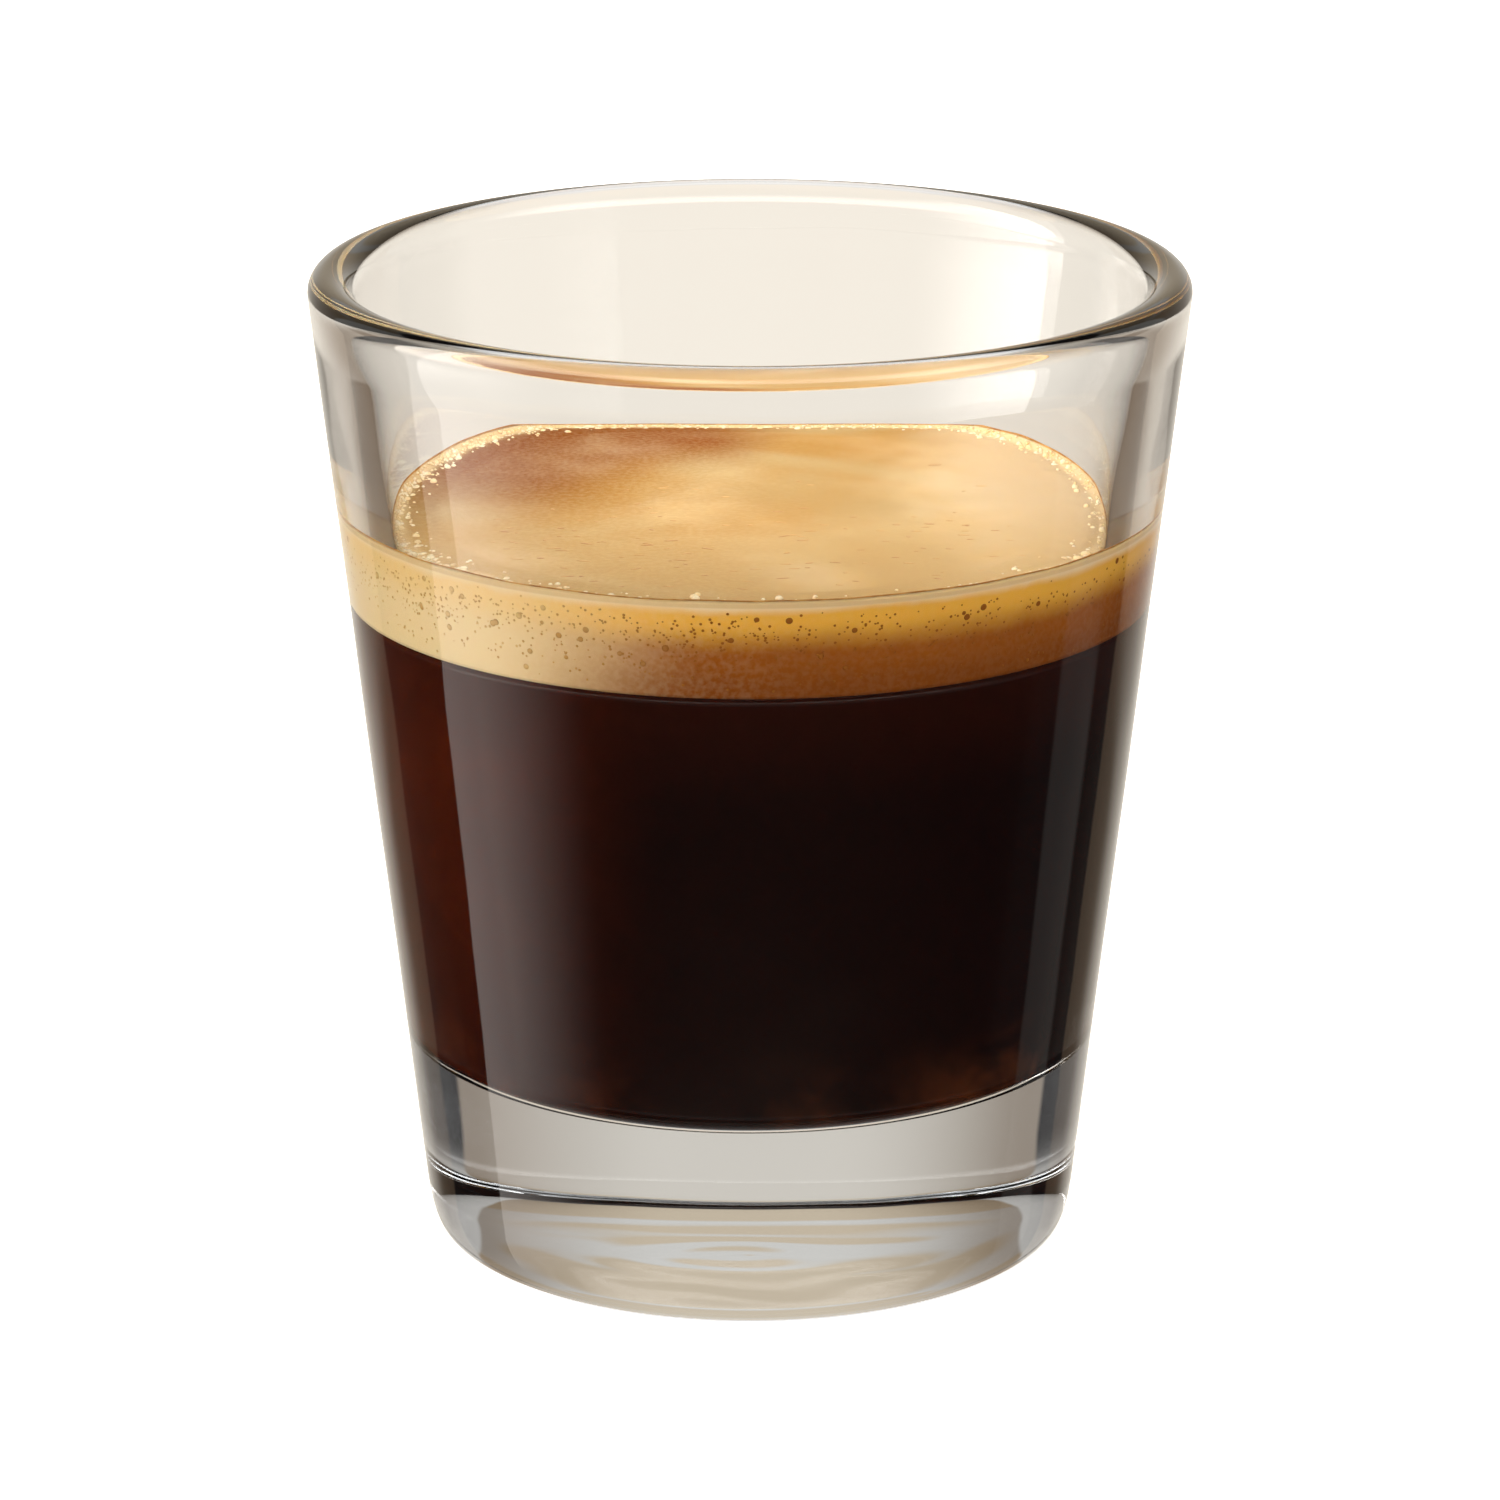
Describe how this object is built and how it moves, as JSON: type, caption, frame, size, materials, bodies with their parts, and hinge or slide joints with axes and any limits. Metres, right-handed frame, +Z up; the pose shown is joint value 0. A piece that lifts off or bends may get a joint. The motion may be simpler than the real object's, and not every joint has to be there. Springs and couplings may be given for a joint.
{
  "type": "double espresso in a glass",
  "caption": "Double espresso with a golden crema in a small, plain, tapered clear glass with a thick base and a rounded lip.",
  "frame": {"origin": "centre of the circle that the glass stands on", "axes": "+Z up along the axis of the glass, which is round, so +X and +Y are any two level directions; -Y faces the viewer"},
  "size_m": [0.06, 0.06, 0.068],
  "materials": {
    "glass": "clear, polished, slightly wavy pressed glass",
    "coffee": "nearly black brown liquid, glossy",
    "crema": "fine golden brown foam, satin, with small bubbles"
  },
  "bodies": {
    "root": {"glass": "glass", "coffee": "coffee", "crema": "crema"}
  },
  "joints": []
}
